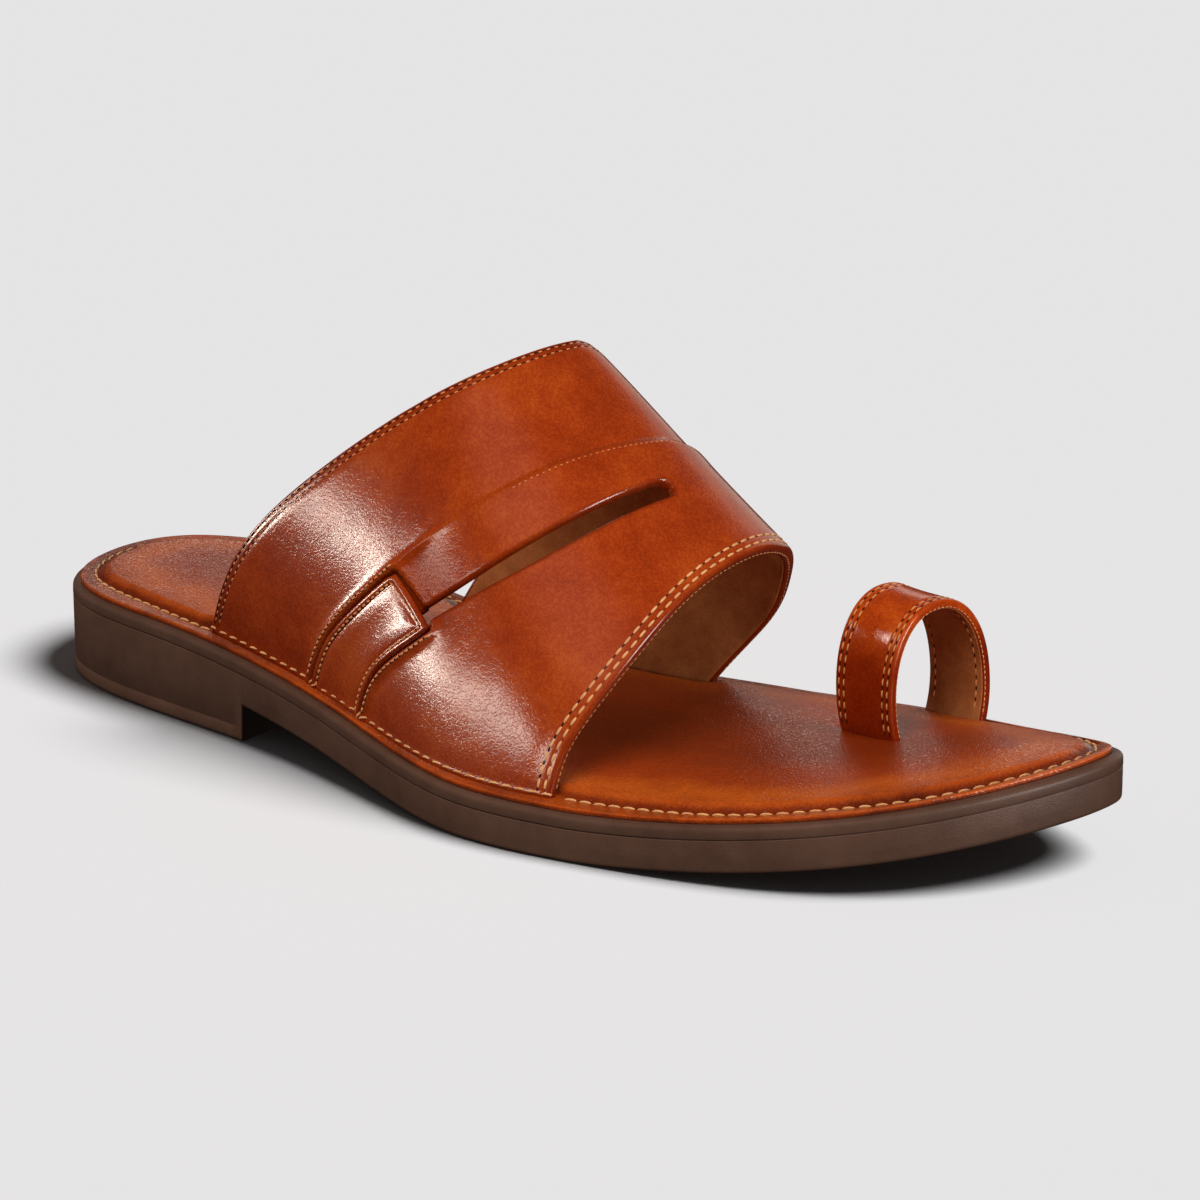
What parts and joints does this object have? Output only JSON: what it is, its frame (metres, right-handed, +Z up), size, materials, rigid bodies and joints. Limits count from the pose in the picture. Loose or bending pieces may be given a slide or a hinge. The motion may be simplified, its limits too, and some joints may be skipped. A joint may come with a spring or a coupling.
{
  "type": "toe ring sandal",
  "caption": "Men's tan leather toe ring slide sandal for the right foot: wide slotted instep band with keeper tab, padded footbed and low-heeled rubber sole.",
  "frame": {"origin": "on the ground under the middle of the outsole's length and width", "axes": "+X towards the toe, +Y towards the big-toe (inner) side of this right shoe, +Z up"},
  "size_m": [0.2858, 0.1049, 0.1013],
  "materials": {
    "outsole_rubber": "satin dark brown moulded rubber with a fine side groove",
    "footbed_leather": "smooth polished tan leather, padded, stitched round the rim",
    "upper_leather": "glossy cognac leather with a fine pebble grain",
    "lining_leather": "matt brown lining leather",
    "thread": "twisted pale gold thread"
  },
  "bodies": {
    "root": {"outsole": "outsole_rubber", "insole": "footbed_leather", "upper": "upper_leather", "keeper_tab": "upper_leather", "toe_ring": "upper_leather"}
  },
  "joints": []
}
